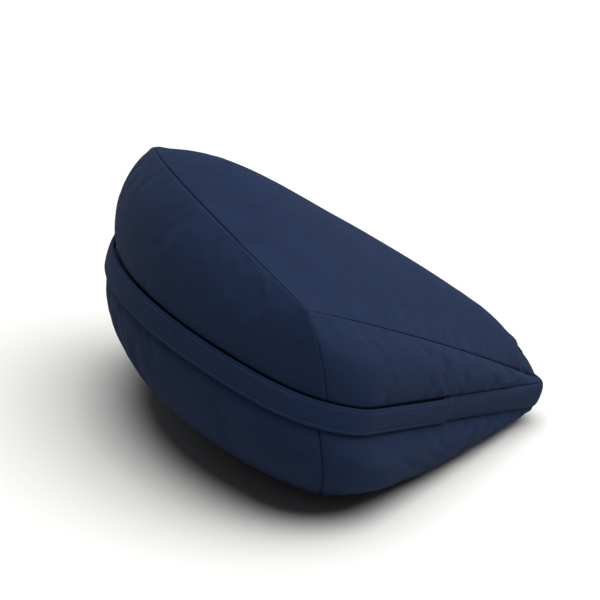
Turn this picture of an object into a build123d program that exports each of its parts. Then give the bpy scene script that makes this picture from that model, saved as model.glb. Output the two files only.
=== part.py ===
from build123d import *
import os
from math import asin, comb, cos, pi, radians, sin

import numpy as np

os.makedirs("parts", exist_ok=True)

# Floor cushion in millimetres. +Z is up, the low tip points along +X, the tall back faces -X,
# and the cushion is the same on both sides of the XZ plane. The origin is on the floor, under
# the middle of the cushion's box.
#
# A band runs round the cushion's widest line. The band lies in a plane that falls from the back
# to the tip. "n" is the distance outwards from the band's line, "h" the height above the middle
# of the band, both measured in the band's own tilted frame.

# ---- the band's line, seen square on to its plane: tangent arcs and two straight sides --------
BAND_TILT = radians(16)
BACK_RADIUS = 418.0
BACK_HALF_ANGLE = radians(35)
CORNER_RADIUS = 73.0
SIDE_ANGLE = radians(39.5)          # between a straight side and the centre line
TIP_RADIUS = 34.0
BAND_HALF_HEIGHT = 13.0
BAND_BACK_X = -224.0                # middle of the band at the back, on the centre line
BAND_BACK_Z = 160.5

# ---- the seams that bound the top and bottom panels, in the floor's frame ---------------------
TOP_CORNER = (-122.0, 259.0, 227.0)
TOP_BACK_BOW = (-57.0, 49.0)        # how far the back seam's middle stands back and up
TOP_TIP = (229.0, 43.0)
TOP_SIDE_BOW = (16.0, 6.0)          # how far each side seam's middle stands out and up
TOP_CROWN = 40.0
BOTTOM_CORNER = (-75.0, 195.0, 10.0)
BOTTOM_BACK_BOW = (-56.0, 0.0)
BOTTOM_TIP = (221.0, 10.0)
BOTTOM_SIDE_BOW = (18.0, 0.0)
TIP_HALF_WIDTH = 4.0                # the panels end blunt at the tip
UPPER_BULGE = 16.0
UPPER_SIDE_SWELL = 2.0              # how much more the side panels bulge along their middles
LOWER_BULGE = 28.0
LOWER_SIDE_SWELL = 12.0
BACK_PANEL_LENGTH = 600.0           # rough sizes of the panels, for their bulge and seam margins
SIDE_PANEL_LENGTH = 420.0
UPPER_PANEL_HEIGHT = 98.0
LOWER_PANEL_HEIGHT = 130.0
TOP_PANEL_SIZE = (350.0, 400.0)
BOTTOM_PANEL_SIZE = (250.0, 200.0)
UPPER_LIFT = 0.45                   # how much of the bulge goes up rather than out
LOWER_LIFT = -0.25
TALLEST = 1.2                       # the bulge grows with the panel's height no further than this

# ---- layers, from the outside in ---------------------------------------------------------------
FABRIC = 1.2
SEAM_GAP = 0.8                      # from each panel's edge back to where its cloth starts
FLOOR_PRESS = 2.0                   # how far the floor presses the bottom panel flat
FLOOR_BLOCK = (700.0, 700.0, 50.0)  # stands for the floor while it is cut away
LINER_DEPTH = 14.0
LINER_FABRIC = 1.2
FILL_DEPTH = 16.0
LINER_SEAM_GAP = 0.8
CORE = np.array([-20.0, 0.0, 115.0])    # the layers are offset towards this point

# ---- the band's two pieces ------------------------------------------------------------------------
FLAP_END = 155.0                    # from a side's start to where the zipper flap ends
FLAP_STAND_OFF = 4.0                # inner face of the flap over the zipper
FLAP_THICKNESS = 1.5
FLAP_ROOT = 2.5                     # height of the flap's sewn root
FRONT_BAND_GAP = 0.6
FRONT_BAND_THICKNESS = 1.8

# ---- zippers --------------------------------------------------------------------------------------
COIL_SIZE = 2.0
COIL_SPLIT = 1.0                    # between the two coils
TAPE_THICKNESS = 0.5
TAPE_SHORT = 6.0                    # the tape edge that is sewn under the upper panels
TAPE_LONG = 15.0                    # the tape edge that is sewn under the flap
TAPE_LINER = 9.0                    # both edges of the liner's tape, within the band's flat wall
TAPE_CLEARANCE = 0.25
COVER_ZIPPER_N = -0.9
COVER_ZIPPER_H = 6.5
COVER_ZIPPER_END = 140.0            # from a side's start to the zipper's stop
COVER_SLIDER_TRAVEL = 120.0
LINER_ZIPPER_N = -6.8
LINER_ZIPPER_H = 0.0
LINER_ZIPPER_START = 50.0
LINER_ZIPPER_LENGTH = 260.0
LINER_SLIDER_TRAVEL = 235.0
STOP_LENGTH = 3.0
STOP_OVERLAP = 0.6                  # past the coils' edges
STOP_FACE = 0.4                     # outside the coils
STOP_GAP = 0.05                     # between the stop and the tape
COIL_END_GAP = 0.1                  # between the coils' ends and the stop
SLIDER_LENGTH = 12.0
SLIDER_HEIGHT = 9.0
SLIDER_PLATE = 1.2
SLIDER_RUN = 0.3                    # clearance between the plates and the coils
SLIDER_CORNER = 1.5
SLIDER_WEB = (3.0, 0.5, 1.0)        # the web between the coils: length, thickness, end margin
SLIDER_RAIL = (0.9, 0.6, 2.0)       # the rails along the plate: height, depth, end margin
SLIDER_CROWN = (6.0, 2.4, 1.7)      # length, height, stand-off of the bridge for a paper clip
SLIDER_CROWN_HOLE = (3.0, 0.9)
STOP_CLEARANCE = 0.4

# ---- the band's line --------------------------------------------------------------------------------
HEADING_BACK = radians(-90)
HEADING_CORNER = HEADING_BACK + BACK_HALF_ANGLE
HEADING_SIDE = SIDE_ANGLE
CORNER_ANGLE = HEADING_SIDE - HEADING_CORNER
BACK_LENGTH = BACK_RADIUS * BACK_HALF_ANGLE
CORNER_LENGTH = CORNER_RADIUS * CORNER_ANGLE
CORNER_START = np.array([BACK_RADIUS * (1 - cos(BACK_HALF_ANGLE)), -BACK_RADIUS * sin(BACK_HALF_ANGLE)])


def turn(radius, start, end):
    """How far an arc moves while its heading turns from start to end."""
    return radius * np.array([sin(end) - sin(start), cos(start) - cos(end)])


SIDE_START = CORNER_START + turn(CORNER_RADIUS, HEADING_CORNER, HEADING_SIDE)
TIP_TURN = turn(TIP_RADIUS, HEADING_SIDE, pi / 2)
SIDE_LENGTH = (-SIDE_START[1] - TIP_TURN[1]) / sin(HEADING_SIDE)
SIDE_HEADING = np.array([cos(HEADING_SIDE), sin(HEADING_SIDE)])
TIP_START = SIDE_START + SIDE_LENGTH * SIDE_HEADING
SIDE_AT = BACK_LENGTH + CORNER_LENGTH
TIP_AT = SIDE_AT + SIDE_LENGTH
LINE_END = TIP_AT + TIP_RADIUS * (pi / 2 - HEADING_SIDE)
CORNER_SEAM_AT = BACK_LENGTH + CORNER_LENGTH / 2
TIP_SEAM_AT = LINE_END - TIP_RADIUS * asin(TIP_HALF_WIDTH / TIP_RADIUS)


def band_line(distance):
    """A point of the band's line on the right half and its outward direction."""
    if distance < BACK_LENGTH:
        heading = HEADING_BACK + distance / BACK_RADIUS
        point = turn(BACK_RADIUS, HEADING_BACK, heading)
    elif distance < SIDE_AT:
        heading = HEADING_CORNER + (distance - BACK_LENGTH) / CORNER_RADIUS
        point = CORNER_START + turn(CORNER_RADIUS, HEADING_CORNER, heading)
    elif distance < TIP_AT:
        heading = HEADING_SIDE
        point = SIDE_START + (distance - SIDE_AT) * SIDE_HEADING
    else:
        heading = HEADING_SIDE + (distance - TIP_AT) / TIP_RADIUS
        point = TIP_START + turn(TIP_RADIUS, HEADING_SIDE, heading)
    return point, np.array([sin(heading), -cos(heading)])


BAND_PLANE = Plane(
    origin=(BAND_BACK_X, 0, BAND_BACK_Z),
    x_dir=(cos(BAND_TILT), 0, -sin(BAND_TILT)),
    z_dir=(sin(BAND_TILT), 0, cos(BAND_TILT)),
)
BAND_ORIGIN = np.array([BAND_BACK_X, 0.0, BAND_BACK_Z])
BAND_ALONG = np.array([cos(BAND_TILT), 0.0, -sin(BAND_TILT)])
BAND_UP = np.array([sin(BAND_TILT), 0.0, cos(BAND_TILT)])
SIDEWAYS = np.array([0.0, 1.0, 0.0])


def on_band(point, height):
    """A point of the band's frame in the floor's frame."""
    return BAND_ORIGIN + point[0] * BAND_ALONG + point[1] * SIDEWAYS + height * BAND_UP


def band_point(distance, height):
    """A point on the band's line at a height, and the outward direction there."""
    point, out = band_line(distance)
    return on_band(point, height), out[0] * BAND_ALONG + out[1] * SIDEWAYS


# ---- the cover's panels as functions of u and v, each from 0 to 1 ---------------------------------
def mirrored(point, flip):
    return point * np.array([1.0, -1.0 if flip else 1.0, 1.0])


def hump(value):
    """0 at both ends, 1 in the middle."""
    return 4 * value * (1 - value)


def full_hump(value):
    """Like hump, but nearly 1 over most of the way."""
    return 1 - (2 * value - 1) ** 6


def back_seam(u, corner, bow):
    across = 2 * u - 1
    rise = 1 - across ** 2
    return np.array([corner[0] + bow[0] * rise, corner[1] * across, corner[2] + bow[1] * rise])


def side_seam(u, corner, tip, bow):
    """From the right back corner to the blunt tip."""
    start = np.array([corner[0], -corner[1], corner[2]])
    end = np.array([tip[0], -TIP_HALF_WIDTH, tip[1]])
    run = end - start
    out = np.array([run[1], -run[0], 0.0]) / np.hypot(run[0], run[1])
    return start + run * u + hump(u) * (bow[0] * out + np.array([0.0, 0.0, bow[1]]))


def bulged(low, high, v, out, half, swell=0.0):
    """A point between two edges, standing out between them; a low panel stands out less."""
    reach = min(np.linalg.norm(high - low) / half["full"], TALLEST)
    direction = out + np.array([0.0, 0.0, half["lift"]])
    direction = direction / np.linalg.norm(direction)
    return low + (high - low) * v + hump(v) * (half["bulge"] + swell) * reach * direction


UPPER = dict(corner=TOP_CORNER, bow=TOP_BACK_BOW, side=TOP_SIDE_BOW, tip=TOP_TIP,
             edge=BAND_HALF_HEIGHT, bulge=UPPER_BULGE, swell=UPPER_SIDE_SWELL,
             lift=UPPER_LIFT, full=UPPER_PANEL_HEIGHT)
LOWER = dict(corner=BOTTOM_CORNER, bow=BOTTOM_BACK_BOW, side=BOTTOM_SIDE_BOW, tip=BOTTOM_TIP,
             edge=-BAND_HALF_HEIGHT, bulge=LOWER_BULGE, swell=LOWER_SIDE_SWELL,
             lift=LOWER_LIFT, full=LOWER_PANEL_HEIGHT)


def back_panel(half):
    def point(u, v):
        across = 2 * u - 1
        low, out = band_point(abs(across) * CORNER_SEAM_AT, half["edge"])
        flip = across > 0
        high = back_seam(u, half["corner"], half["bow"])
        return bulged(mirrored(low, flip), high, v, mirrored(out, flip), half)
    return point


def side_panel(half, flip):
    def point(u, v):
        low, out = band_point(CORNER_SEAM_AT + u * (TIP_SEAM_AT - CORNER_SEAM_AT), half["edge"])
        high = side_seam(u, half["corner"], half["tip"], half["side"])
        swell = half["swell"] * full_hump(u)
        return mirrored(bulged(low, high, v, out, half, swell), flip)
    return point


def face_panel(half, rise):
    """The top or bottom panel: ruled between the side seams, bowed at the back, plus a rise."""
    def point(u, v):
        right = side_seam(u, half["corner"], half["tip"], half["side"])
        left = mirrored(right, True)
        across = 1 - (2 * v - 1) ** 2
        back = across * (1 - u) ** 2
        bow = np.array([half["bow"][0] * back, 0.0, half["bow"][1] * back])
        return right + (left - right) * v + bow + np.array([0.0, 0.0, rise(u, v)])
    return point


def top_rise(u, v):
    return TOP_CROWN * full_hump(u) * (1 - (2 * v - 1) ** 2)


def bottom_drop(depth):
    def rise(u, v):
        return -depth * full_hump(u) * full_hump(v)
    return rise


def band_wall(half_sign, part, flip=False):
    """The strip between the band's middle and one of its edges, used inside the cushion."""
    def point(u, v):
        height = half_sign * (LINER_SEAM_GAP / 2 + v * (BAND_HALF_HEIGHT - LINER_SEAM_GAP / 2))
        if part == "back":
            across = 2 * u - 1
            low, _ = band_point(abs(across) * CORNER_SEAM_AT, height)
            return mirrored(low, across > 0)
        if part == "side":
            low, _ = band_point(CORNER_SEAM_AT + u * (TIP_SEAM_AT - CORNER_SEAM_AT), height)
            return mirrored(low, flip)
        across = 2 * u - 1
        low, _ = band_point(LINE_END + abs(across) * (TIP_SEAM_AT - LINE_END), height)
        return mirrored(low, across > 0)
    return point


def tip_panel(half):
    """The small gusset that closes the inner layers at the tip."""
    wall = band_wall(1 if half is UPPER else -1, "tip")
    edge = side_panel(half, False)

    def point(u, v):
        right = edge(1.0, v)
        chord = right + (mirrored(right, True) - right) * u
        foot = edge(1.0, 0.0)
        arc = wall(u, 1.0) - foot - (mirrored(foot, True) - foot) * u
        return chord + arc * (1 - v)
    return point


# ---- exact patches: a Bezier surface through samples of a panel ------------------------------------
def nodes(count):
    """Sample places from 0 to 1, closer together at the ends."""
    return 0.5 - 0.5 * np.cos(pi * np.arange(count) / (count - 1))


def bernstein(count):
    """Bernstein polynomials of degree count - 1 at the sample places."""
    degree = count - 1
    return np.array([[comb(degree, k) * t ** k * (1 - t) ** (degree - k) for k in range(count)]
                     for t in nodes(count)])


def control_net(samples):
    """Control points of the Bezier surface that passes through a grid of samples."""
    along = np.linalg.inv(bernstein(samples.shape[0]))
    across = np.linalg.inv(bernstein(samples.shape[1]))
    return np.einsum("ia,abk,jb->ijk", along, samples, across)


def patch(net):
    return Face.make_bezier_surface([[Vector(*p) for p in row] for row in net])


def inwards(points, depth):
    """The same points moved towards the cushion's core."""
    away = points - CORE
    return points - depth * away / np.linalg.norm(away, axis=-1, keepdims=True)


LONG_NODES = 15
SHORT_NODES = 7


def sample(point, margins=(0, 0, 0, 0), depth=0.0, across=SHORT_NODES):
    """A panel's grid of samples, kept back from its four edges by the margins."""
    u_low, u_high, v_low, v_high = margins
    grid = np.array([[point(u_low + (1 - u_low - u_high) * u, v_low + (1 - v_low - v_high) * v)
                      for v in nodes(across)] for u in nodes(LONG_NODES)])
    return inwards(grid, depth)


def closed_solid(faces):
    solid = Solid(Shell(faces))
    return solid if solid.volume > 0 else Solid(Shell([-face for face in faces]))


def walled(outer, inner):
    """The solid between two grids: both patches and the four walls between their edges."""
    a = control_net(outer)
    b = control_net(inner)
    rims = [np.stack([a[0], b[0]]), np.stack([a[-1], b[-1]]),
            np.stack([a[:, 0], b[:, 0]]), np.stack([a[:, -1], b[:, -1]])]
    return closed_solid([patch(a), patch(b)] + [patch(rim) for rim in rims])


def seam_margins(length, height):
    """The seam gap as shares of a panel's length and height."""
    return (SEAM_GAP / length, SEAM_GAP / length, SEAM_GAP / height, SEAM_GAP / height)


def cloth_panel(point, length, height):
    """One panel of the cover, kept a seam gap back from its edges."""
    margins = seam_margins(length, height)
    return walled(sample(point, margins), sample(point, margins, FABRIC))


def bottom_cloth():
    """The bottom panel, pressed flat where it stands on the floor."""
    margins = seam_margins(*BOTTOM_PANEL_SIZE)
    seam_height = BOTTOM_CORNER[2]
    outer = sample(face_panel(LOWER, bottom_drop(seam_height + FLOOR_PRESS)), margins)
    inner = sample(face_panel(LOWER, bottom_drop(seam_height)), margins, FABRIC)
    below = Pos(0, 0, -FLOOR_BLOCK[2] / 2) * Box(*FLOOR_BLOCK)
    return walled(outer, inner) - below


# ---- strips that follow the band's line -------------------------------------------------------------
def run_points(n, begin, end):
    """Corner points of the line offset by n, between two places left (+) and right (-)."""
    breaks = [-SIDE_AT, -BACK_LENGTH, 0.0, BACK_LENGTH, SIDE_AT]
    places = [begin] + [b for b in breaks if begin < b < end] + [end]
    return places, [offset_point(place, n) for place in places]


def offset_point(place, n):
    """A point in the band's frame; places left of the centre line are positive."""
    point, out = band_line(abs(place))
    spot = point + n * out
    return (spot[0], spot[1] if place <= 0 else -spot[1])


def track(n, begin, end):
    """The band's line offset by n, as tangent arcs and straight runs."""
    places, points = run_points(n, begin, end)
    edges = []
    for a, b, p, q in zip(places, places[1:], points, points[1:]):
        middle = (a + b) / 2
        if SIDE_AT < abs(middle) < TIP_AT:
            edges.append(Line(p, q))
        else:
            edges.append(ThreePointArc(p, offset_point(middle, n), q))
    return edges


def strip(n_low, n_high, begin, end, h_low, h_high):
    """A solid strip along the band's line."""
    outer = track(n_high, begin, end)
    inner = track(n_low, begin, end)
    ends = [Line(outer[0] @ 0, inner[0] @ 0), Line(outer[-1] @ 1, inner[-1] @ 1)]
    face = make_face(outer + inner + ends)
    return BAND_PLANE * Pos(0, 0, h_low) * extrude(face, h_high - h_low)


def front_strip(n_low, n_high, h_low, h_high):
    """A strip round the tip, from one end of the flap to the other."""
    begin = SIDE_AT + FLAP_END + FRONT_BAND_GAP

    def edges(n):
        places = [-begin, -TIP_AT, TIP_AT, begin]
        points = [offset_point(place, n) for place in places]
        tip, out = band_line(LINE_END)
        return [Line(points[0], points[1]),
                ThreePointArc(points[1], tuple(tip + n * out), points[2]),
                Line(points[2], points[3])]

    outer = edges(n_high)
    inner = edges(n_low)
    ends = [Line(outer[0] @ 0, inner[0] @ 0), Line(outer[-1] @ 1, inner[-1] @ 1)]
    face = make_face(outer + inner + ends)
    return BAND_PLANE * Pos(0, 0, h_low) * extrude(face, h_high - h_low)


def flap():
    """The zipper flap: sewn along its root, standing off over the zipper, free at its top."""
    end = SIDE_AT + FLAP_END
    cover = strip(FLAP_STAND_OFF, FLAP_STAND_OFF + FLAP_THICKNESS, -end, end,
                  -BAND_HALF_HEIGHT, BAND_HALF_HEIGHT)
    root = strip(0, FLAP_STAND_OFF, -end, end,
                 -BAND_HALF_HEIGHT, -BAND_HALF_HEIGHT + FLAP_ROOT)
    return cover + root


# ---- zipper parts, built along a local x, with y outwards and z across the tapes ---------------------
COIL_N = (-COIL_SIZE / 2, COIL_SIZE / 2)
COIL_H = (COIL_SPLIT / 2, COIL_SPLIT / 2 + COIL_SIZE)
TAPE_N = (-COIL_SIZE / 2 - TAPE_THICKNESS, -COIL_SIZE / 2)
TAPE_EDGE = COIL_SPLIT / 2 + TAPE_CLEARANCE


def block(x, y, z):
    """A box between pairs of x, y and z."""
    size = (x[1] - x[0], y[1] - y[0], z[1] - z[0])
    return Pos((x[0] + x[1]) / 2, (y[0] + y[1]) / 2, (z[0] + z[1]) / 2) * Box(*size)


def both_sides(pair):
    """The same span below the middle."""
    return (-pair[1], -pair[0])


def slider():
    """Two plates joined by a web that runs between the coils, with a bridge and no pull tab."""
    length = (0.0, SLIDER_LENGTH)
    height = (-SLIDER_HEIGHT / 2, SLIDER_HEIGHT / 2)
    outer = (COIL_N[1] + SLIDER_RUN, COIL_N[1] + SLIDER_RUN + SLIDER_PLATE)
    inner = (TAPE_N[0] - SLIDER_RUN - SLIDER_PLATE, TAPE_N[0] - SLIDER_RUN)
    body = block(length, outer, height) + block(length, inner, height)
    body = fillet(body.edges().filter_by(Axis.Y), SLIDER_CORNER)
    web_length, web_thickness, web_margin = SLIDER_WEB
    web_end = (SLIDER_LENGTH - web_margin - web_length, SLIDER_LENGTH - web_margin)
    body += block(web_end, (inner[1], outer[0]), (-web_thickness / 2, web_thickness / 2))
    rail_height, rail_depth, rail_margin = SLIDER_RAIL
    rail = (SLIDER_HEIGHT / 2 - rail_height, SLIDER_HEIGHT / 2)
    rail_run = (rail_margin, SLIDER_LENGTH - rail_margin)
    for span in (rail, both_sides(rail)):
        body += block(rail_run, (outer[0] - rail_depth, outer[0]), span)
    crown_length, crown_height, crown_rise = SLIDER_CROWN
    hole_length, hole_rise = SLIDER_CROWN_HOLE
    middle = SLIDER_LENGTH / 2
    crown = block((middle - crown_length / 2, middle + crown_length / 2),
                  (outer[1], outer[1] + crown_rise), (-crown_height / 2, crown_height / 2))
    hole = block((middle - hole_length / 2, middle + hole_length / 2),
                 (outer[1], outer[1] + hole_rise), (-crown_height, crown_height))
    return body + (crown - hole)


def stop():
    """One stop, clamped over both coils' ends."""
    height = COIL_H[1] + STOP_OVERLAP
    return block((0.0, STOP_LENGTH), (TAPE_N[1] + STOP_GAP, COIL_N[1] + STOP_FACE), (-height, height))


def side_plane(distance, n, h, left):
    """A frame on a straight side, x along the side towards the back corner, y outwards."""
    point, out = band_line(SIDE_AT + distance)
    spot = point + n * out
    sign = -1.0 if left else 1.0
    origin = on_band(np.array([spot[0], sign * spot[1]]), h)
    away = -(SIDE_HEADING[0] * BAND_ALONG + sign * SIDE_HEADING[1] * SIDEWAYS)
    up = -BAND_UP if left else BAND_UP
    return Plane(origin=tuple(origin), x_dir=tuple(away), z_dir=tuple(up))


def cover_zipper():
    """The cover's zipper, from the right side round the back to the left side."""
    end = SIDE_AT + COVER_ZIPPER_END
    n, h = COVER_ZIPPER_N, COVER_ZIPPER_H
    result = {}
    for name, sign, width in (("upper", 1, TAPE_SHORT), ("lower", -1, TAPE_LONG)):
        coil = sorted((h + sign * COIL_H[0], h + sign * COIL_H[1]))
        tape = sorted((h + sign * TAPE_EDGE, h + sign * (TAPE_EDGE + width)))
        result["cover_zipper_coil_" + name] = strip(n + COIL_N[0], n + COIL_N[1], -end, end, *coil)
        result["cover_zipper_tape_" + name] = strip(
            n + TAPE_N[0], n + TAPE_N[1], -end - 2 * STOP_LENGTH, end + 2 * STOP_LENGTH, *tape)
    left = side_plane(COVER_ZIPPER_END, n, h, left=True)
    right = side_plane(COVER_ZIPPER_END, n, h, left=False)
    ahead = Pos(-STOP_LENGTH - COIL_END_GAP, 0, 0)
    result["cover_zipper_stops"] = Compound([left * ahead * stop(), right * ahead * stop()])
    result["cover_zipper_slider"] = left * Pos(STOP_CLEARANCE, 0, 0) * slider()
    return result


def liner_zipper():
    """The liner's straight zipper, on the right side of its seam."""
    end = LINER_ZIPPER_START + LINER_ZIPPER_LENGTH
    place = side_plane(end, LINER_ZIPPER_N, LINER_ZIPPER_H, left=False)
    run = (0.0, LINER_ZIPPER_LENGTH)
    tape_run = (-2 * STOP_LENGTH, LINER_ZIPPER_LENGTH + 2 * STOP_LENGTH)
    result = {}
    for name, flip in (("upper", False), ("lower", True)):
        coil = both_sides(COIL_H) if flip else COIL_H
        tape = (TAPE_EDGE, TAPE_EDGE + TAPE_LINER)
        tape = both_sides(tape) if flip else tape
        result["liner_zipper_coil_" + name] = place * block(run, COIL_N, coil)
        result["liner_zipper_tape_" + name] = place * block(tape_run, TAPE_N, tape)
    stops = [place * Pos(-STOP_LENGTH - COIL_END_GAP, 0, 0) * stop(),
             place * Pos(LINER_ZIPPER_LENGTH + COIL_END_GAP, 0, 0) * stop()]
    result["liner_zipper_stops"] = Compound(stops)
    result["liner_zipper_slider"] = place * Pos(STOP_CLEARANCE, 0, 0) * slider()
    return result


# ---- the liner's two halves and the filling -----------------------------------------------------------
def half_skin(half, depth):
    """Control nets of one half's outside at a depth, as patches that share their edges."""
    sign = 1 if half is UPPER else -1
    rise = top_rise if half is UPPER else bottom_drop(BOTTOM_CORNER[2])
    functions = [back_panel(half), side_panel(half, False), side_panel(half, True), tip_panel(half),
                 band_wall(sign, "back"), band_wall(sign, "side"), band_wall(sign, "side", True),
                 band_wall(sign, "tip")]
    nets = [control_net(sample(function, depth=depth)) for function in functions]
    return nets + [control_net(sample(face_panel(half, rise), depth=depth, across=LONG_NODES))]


def rim_nets(nets):
    """The edges of a half's skin that lie at the band's middle."""
    return [net[:, 0] for net in nets[4:8]]


def liner_half(half):
    outer = half_skin(half, LINER_DEPTH)
    inner = half_skin(half, LINER_DEPTH + LINER_FABRIC)
    rims = [patch(np.stack([a, b])) for a, b in zip(rim_nets(outer), rim_nets(inner))]
    return closed_solid([patch(net) for net in outer + inner] + rims)


def filling():
    """The beads as one closed body."""
    upper = half_skin(UPPER, FILL_DEPTH)
    lower = half_skin(LOWER, FILL_DEPTH)
    belt = [patch(np.stack([a, b])) for a, b in zip(rim_nets(upper), rim_nets(lower))]
    return closed_solid([patch(net) for net in upper + lower] + belt)


# ---- write one file per piece ------------------------------------------------------------------------
def pieces():
    upper_side = (SIDE_PANEL_LENGTH, UPPER_PANEL_HEIGHT)
    lower_side = (SIDE_PANEL_LENGTH, LOWER_PANEL_HEIGHT)
    result = {
        "top_panel": cloth_panel(face_panel(UPPER, top_rise), *TOP_PANEL_SIZE),
        "back_upper_panel": cloth_panel(back_panel(UPPER), BACK_PANEL_LENGTH, UPPER_PANEL_HEIGHT),
        "right_upper_panel": cloth_panel(side_panel(UPPER, False), *upper_side),
        "left_upper_panel": cloth_panel(side_panel(UPPER, True), *upper_side),
        "back_lower_panel": cloth_panel(back_panel(LOWER), BACK_PANEL_LENGTH, LOWER_PANEL_HEIGHT),
        "right_lower_panel": cloth_panel(side_panel(LOWER, False), *lower_side),
        "left_lower_panel": cloth_panel(side_panel(LOWER, True), *lower_side),
        "bottom_panel": bottom_cloth(),
        "zipper_flap": flap(),
        "front_band": front_strip(0, FRONT_BAND_THICKNESS, -BAND_HALF_HEIGHT, BAND_HALF_HEIGHT),
        "liner_upper": liner_half(UPPER),
        "liner_lower": liner_half(LOWER),
        "bead_filling": filling(),
    }
    result.update(cover_zipper())
    result.update(liner_zipper())
    return result


for name, shape in pieces().items():
    export_step(shape, "parts/" + name + ".step")
    box = shape.bounding_box()
    print(name, "volume", round(shape.volume), "box", [round(v, 1) for v in (*box.min, *box.max)])

for name, travel, left in (("cover", COVER_SLIDER_TRAVEL, True), ("liner", LINER_SLIDER_TRAVEL, False)):
    axis = side_plane(0.0, 0.0, 0.0, left).x_dir
    print(name, "slider slides", travel, "mm along", [round(v, 4) for v in axis])
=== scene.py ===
from math import asin, cos, pi, radians, sin

import bmesh
import bpy
import numpy as np
from mathutils import Matrix, Vector


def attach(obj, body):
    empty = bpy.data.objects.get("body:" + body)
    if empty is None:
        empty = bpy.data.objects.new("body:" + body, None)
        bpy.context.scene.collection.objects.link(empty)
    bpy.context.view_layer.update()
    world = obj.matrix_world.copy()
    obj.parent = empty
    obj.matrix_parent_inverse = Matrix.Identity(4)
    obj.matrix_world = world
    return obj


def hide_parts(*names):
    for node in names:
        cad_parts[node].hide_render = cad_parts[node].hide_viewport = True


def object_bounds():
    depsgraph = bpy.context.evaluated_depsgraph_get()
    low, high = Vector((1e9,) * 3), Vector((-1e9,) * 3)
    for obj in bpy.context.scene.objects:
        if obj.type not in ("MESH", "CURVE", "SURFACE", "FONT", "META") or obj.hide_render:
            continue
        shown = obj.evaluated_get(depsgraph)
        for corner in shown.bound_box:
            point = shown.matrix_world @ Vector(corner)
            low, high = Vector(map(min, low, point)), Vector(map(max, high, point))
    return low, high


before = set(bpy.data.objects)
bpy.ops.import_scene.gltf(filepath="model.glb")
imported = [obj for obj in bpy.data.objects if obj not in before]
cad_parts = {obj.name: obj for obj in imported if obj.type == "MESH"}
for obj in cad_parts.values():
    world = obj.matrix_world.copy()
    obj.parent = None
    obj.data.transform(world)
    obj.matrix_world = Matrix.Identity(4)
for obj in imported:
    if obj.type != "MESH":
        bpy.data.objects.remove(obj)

CAD_LOW, CAD_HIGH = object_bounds()
MIDDLE = (CAD_LOW + CAD_HIGH) / 2
BODY = "cushion"

# A floor cushion: eight cotton panels sewn round a band, with a zipper under the band's flap,
# and a bag of beads inside. Lengths in the shape code are millimetres, in the CAD's frame.
MM = 0.001


# ---- camera, floor and light -------------------------------------------------------------------
VIEW_AZIMUTH = radians(-19.1)
VIEW_ELEVATION = radians(19.3)
VIEW_ROLL = radians(4.2)
VIEW_DISTANCE = 3.27
VIEW_AIM = Vector((-0.033, 0.023, -0.008))      # from the middle of the cushion's box
LENS = 191.0
SENSOR = 36.0
FLOOR_HALF_SIZE = 30.0
FLOOR_GREY = 0.56
FLOOR_ROUGHNESS = 0.9
SKY_STRENGTH = 0.10
SUN_STRENGTH = 6.0
SUN_SPREAD = radians(80)            # a wide sun, for soft shadows
SUN_COLOUR = (1.0, 0.99, 0.97)
SUN_POINTING = Vector((-0.2, 0.09, -0.97))


def make_camera():
    data = bpy.data.cameras.new("camera")
    data.lens = LENS
    data.sensor_width = SENSOR
    camera = bpy.data.objects.new("camera", data)
    bpy.context.scene.collection.objects.link(camera)
    back = Vector((sin(VIEW_AZIMUTH) * cos(VIEW_ELEVATION),
                   -cos(VIEW_AZIMUTH) * cos(VIEW_ELEVATION),
                   sin(VIEW_ELEVATION)))
    turned = (-back).to_track_quat("-Z", "Y").to_matrix() @ Matrix.Rotation(VIEW_ROLL, 3, "Z")
    camera.rotation_mode = "QUATERNION"
    camera.rotation_quaternion = turned.to_quaternion()
    camera.location = MIDDLE + VIEW_AIM + back * VIEW_DISTANCE
    bpy.context.scene.camera = camera


def make_floor():
    side = FLOOR_HALF_SIZE
    data = bpy.data.meshes.new("floor")
    corners = [(-side, -side), (side, -side), (side, side), (-side, side)]
    data.from_pydata([(x, y, CAD_LOW.z) for x, y in corners], [], [(0, 1, 2, 3)])
    floor = bpy.data.objects.new("floor", data)
    bpy.context.scene.collection.objects.link(floor)
    material = bpy.data.materials.new("floor")
    material.use_nodes = True
    shader = material.node_tree.nodes["Principled BSDF"]
    shader.inputs["Base Color"].default_value = (FLOOR_GREY, FLOOR_GREY, FLOOR_GREY, 1)
    shader.inputs["Roughness"].default_value = FLOOR_ROUGHNESS
    data.materials.append(material)


def make_studio():
    bpy.context.scene.view_settings.view_transform = "Standard"
    world = bpy.data.worlds.new("studio")
    bpy.context.scene.world = world
    world.use_nodes = True
    background = world.node_tree.nodes["Background"]
    background.inputs["Color"].default_value = (1, 1, 1, 1)
    background.inputs["Strength"].default_value = SKY_STRENGTH
    data = bpy.data.lights.new("key", "SUN")
    data.energy = SUN_STRENGTH
    data.angle = SUN_SPREAD
    data.color = SUN_COLOUR
    light = bpy.data.objects.new("key", data)
    light.rotation_mode = "QUATERNION"
    light.rotation_quaternion = SUN_POINTING.to_track_quat("-Z", "Y")
    bpy.context.scene.collection.objects.link(light)
    make_floor()


# ---- materials ------------------------------------------------------------------------------------
WAVE_PERIOD = 2 * pi / 20            # how often the wave texture repeats at a scale of one
CLOUD_SCALE, CLOUD_SHARE = 16.0, 0.25
STREAK_SCALE, STREAK_SHARE = 60.0, 0.4
GRAIN_SCALE, GRAIN_SHARE = 900.0, 0.35
STREAK_STRETCH = (0.25, 0.6, 2.2)
WEAVE_DEPTH = 0.0004
GRAIN_DEPTH = 0.0003
BEAD_SCALE = 280.0
BEAD_DEPTH = 0.0015


def node(tree, kind, **inputs):
    made = tree.nodes.new(kind)
    for name, value in inputs.items():
        made.inputs[name.replace("_", " ")].default_value = value
    return made


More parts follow.
